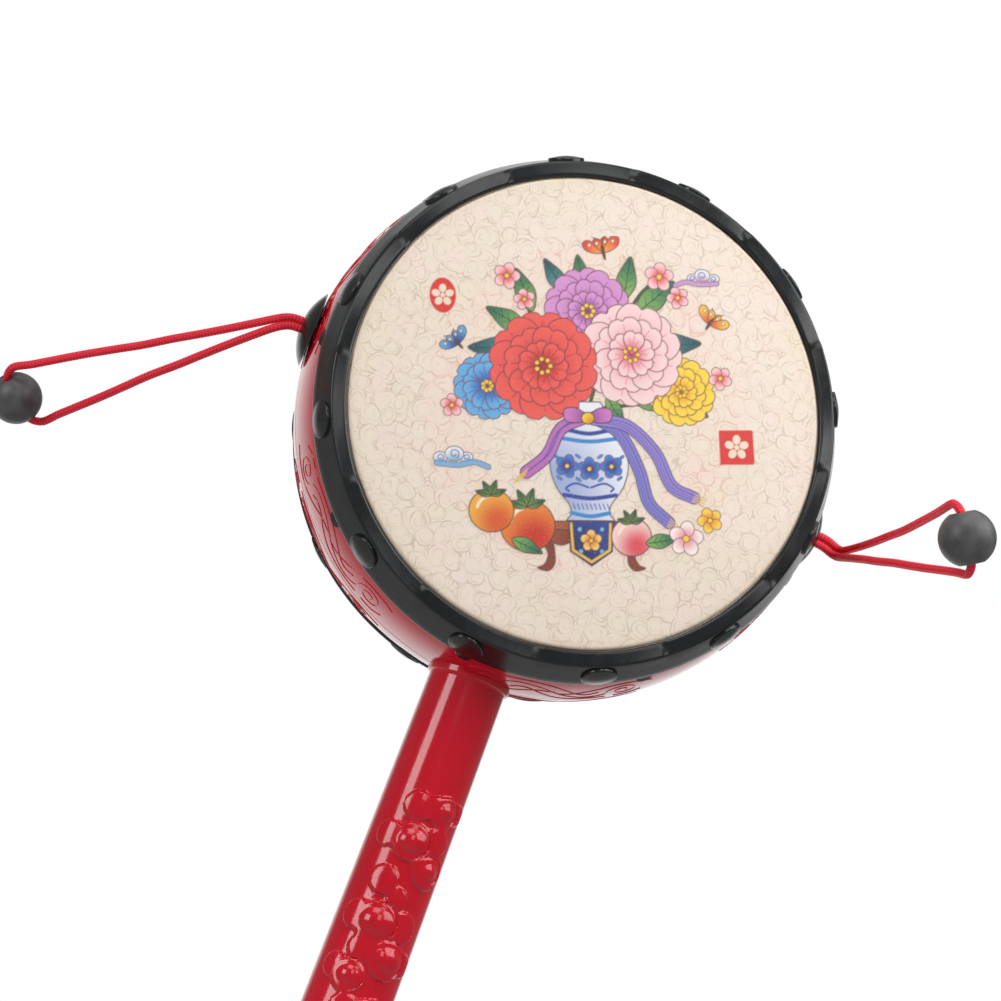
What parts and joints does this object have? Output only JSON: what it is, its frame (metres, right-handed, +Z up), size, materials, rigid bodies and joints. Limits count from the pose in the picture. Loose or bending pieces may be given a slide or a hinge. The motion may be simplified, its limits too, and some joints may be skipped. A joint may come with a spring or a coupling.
{
  "type": "twirl rattle drum",
  "caption": "Twirl rattle drum: a two-skinned drum with studded hoops on a relief-moulded handle, with beads on looped side cords that swing round and strike the skins.",
  "frame": {"origin": "middle of the handle's lower end, at the grip's end face", "axes": "+Z up the handle to the drum, -Y out of the front skin, +X to the viewer's right across the two eyelets"},
  "size_m": [0.1709, 0.0962, 0.2531],
  "materials": {
    "red_plastic": "smooth moulded red plastic, glossy",
    "black_plastic": "moulded black plastic, glossy on the front band and satin on the side",
    "skin": "printed cream parchment-like skin with fine cloud-scroll lines, satin",
    "cord": "red braided nylon cord",
    "bead": "dark grey bead, satin"
  },
  "bodies": {
    "drum": {"barrel_front": "red_plastic", "barrel_back": "red_plastic", "front_hoop": "black_plastic", "back_hoop": "black_plastic", "front_skin": "skin", "back_skin": "skin", "handle": "red_plastic", "handle_end_cap": "red_plastic", "left_eyelet": "black_plastic", "right_eyelet": "black_plastic", "left_cord_knot": "cord", "right_cord_knot": "cord"},
    "left_cord_root": {"left_cord_root": "cord"},
    "left_cord_inner": {"left_cord_inner": "cord"},
    "left_cord_outer": {"left_cord_outer": "cord"},
    "left_bead": {"left_bead": "bead"},
    "right_cord_root": {"right_cord_root": "cord"},
    "right_cord_inner": {"right_cord_inner": "cord"},
    "right_cord_outer": {"right_cord_outer": "cord"},
    "right_bead": {"right_bead": "bead"}
  },
  "joints": [
    {"name": "left_droop", "type": "hinge", "parent": "drum", "child": "left_cord_root", "pos_m": [-0.05465, 0, 0.2], "axis": [0, -1, 0], "range_deg": [-122.5, 57.5]},
    {"name": "left_swing", "type": "hinge", "parent": "left_cord_root", "child": "left_cord_inner", "pos_m": [-0.05718, 0, 0.19839], "axis": [-0.5373, 0, 0.8434], "range_deg": [-56.7, 123.3]},
    {"name": "left_bend", "type": "hinge", "parent": "left_cord_inner", "child": "left_cord_outer", "pos_m": [-0.07657, 0.0151, 0.18604], "axis": [-0.5373, 0, 0.8434], "range_deg": [-90, 90]},
    {"name": "left_bead_spin", "type": "hinge", "parent": "left_cord_outer", "child": "left_bead", "pos_m": [-0.09666, 0.03075, 0.17324], "axis": [-0.7057, -0.4794, 0.5217], "continuous": true},
    {"name": "right_droop", "type": "hinge", "parent": "drum", "child": "right_cord_root", "pos_m": [0.05465, 0, 0.2], "axis": [0, 1, 0], "range_deg": [-115.3, 64.7]},
    {"name": "right_swing", "type": "hinge", "parent": "right_cord_root", "child": "right_cord_inner", "pos_m": [0.05736, 0, 0.19872], "axis": [0.4274, 0, 0.9041], "range_deg": [-7.8, 172.2]},
    {"name": "right_bend", "type": "hinge", "parent": "right_cord_inner", "child": "right_cord_outer", "pos_m": [0.06074, -0.02725, 0.19712], "axis": [-0.0778, -0.0679, 0.9947], "range_deg": [-90, 90]},
    {"name": "right_bead_spin", "type": "hinge", "parent": "right_cord_outer", "child": "right_bead", "pos_m": [0.06423, -0.05548, 0.19547], "axis": [-0.5477, -0.1163, 0.8286], "continuous": true}
  ]
}
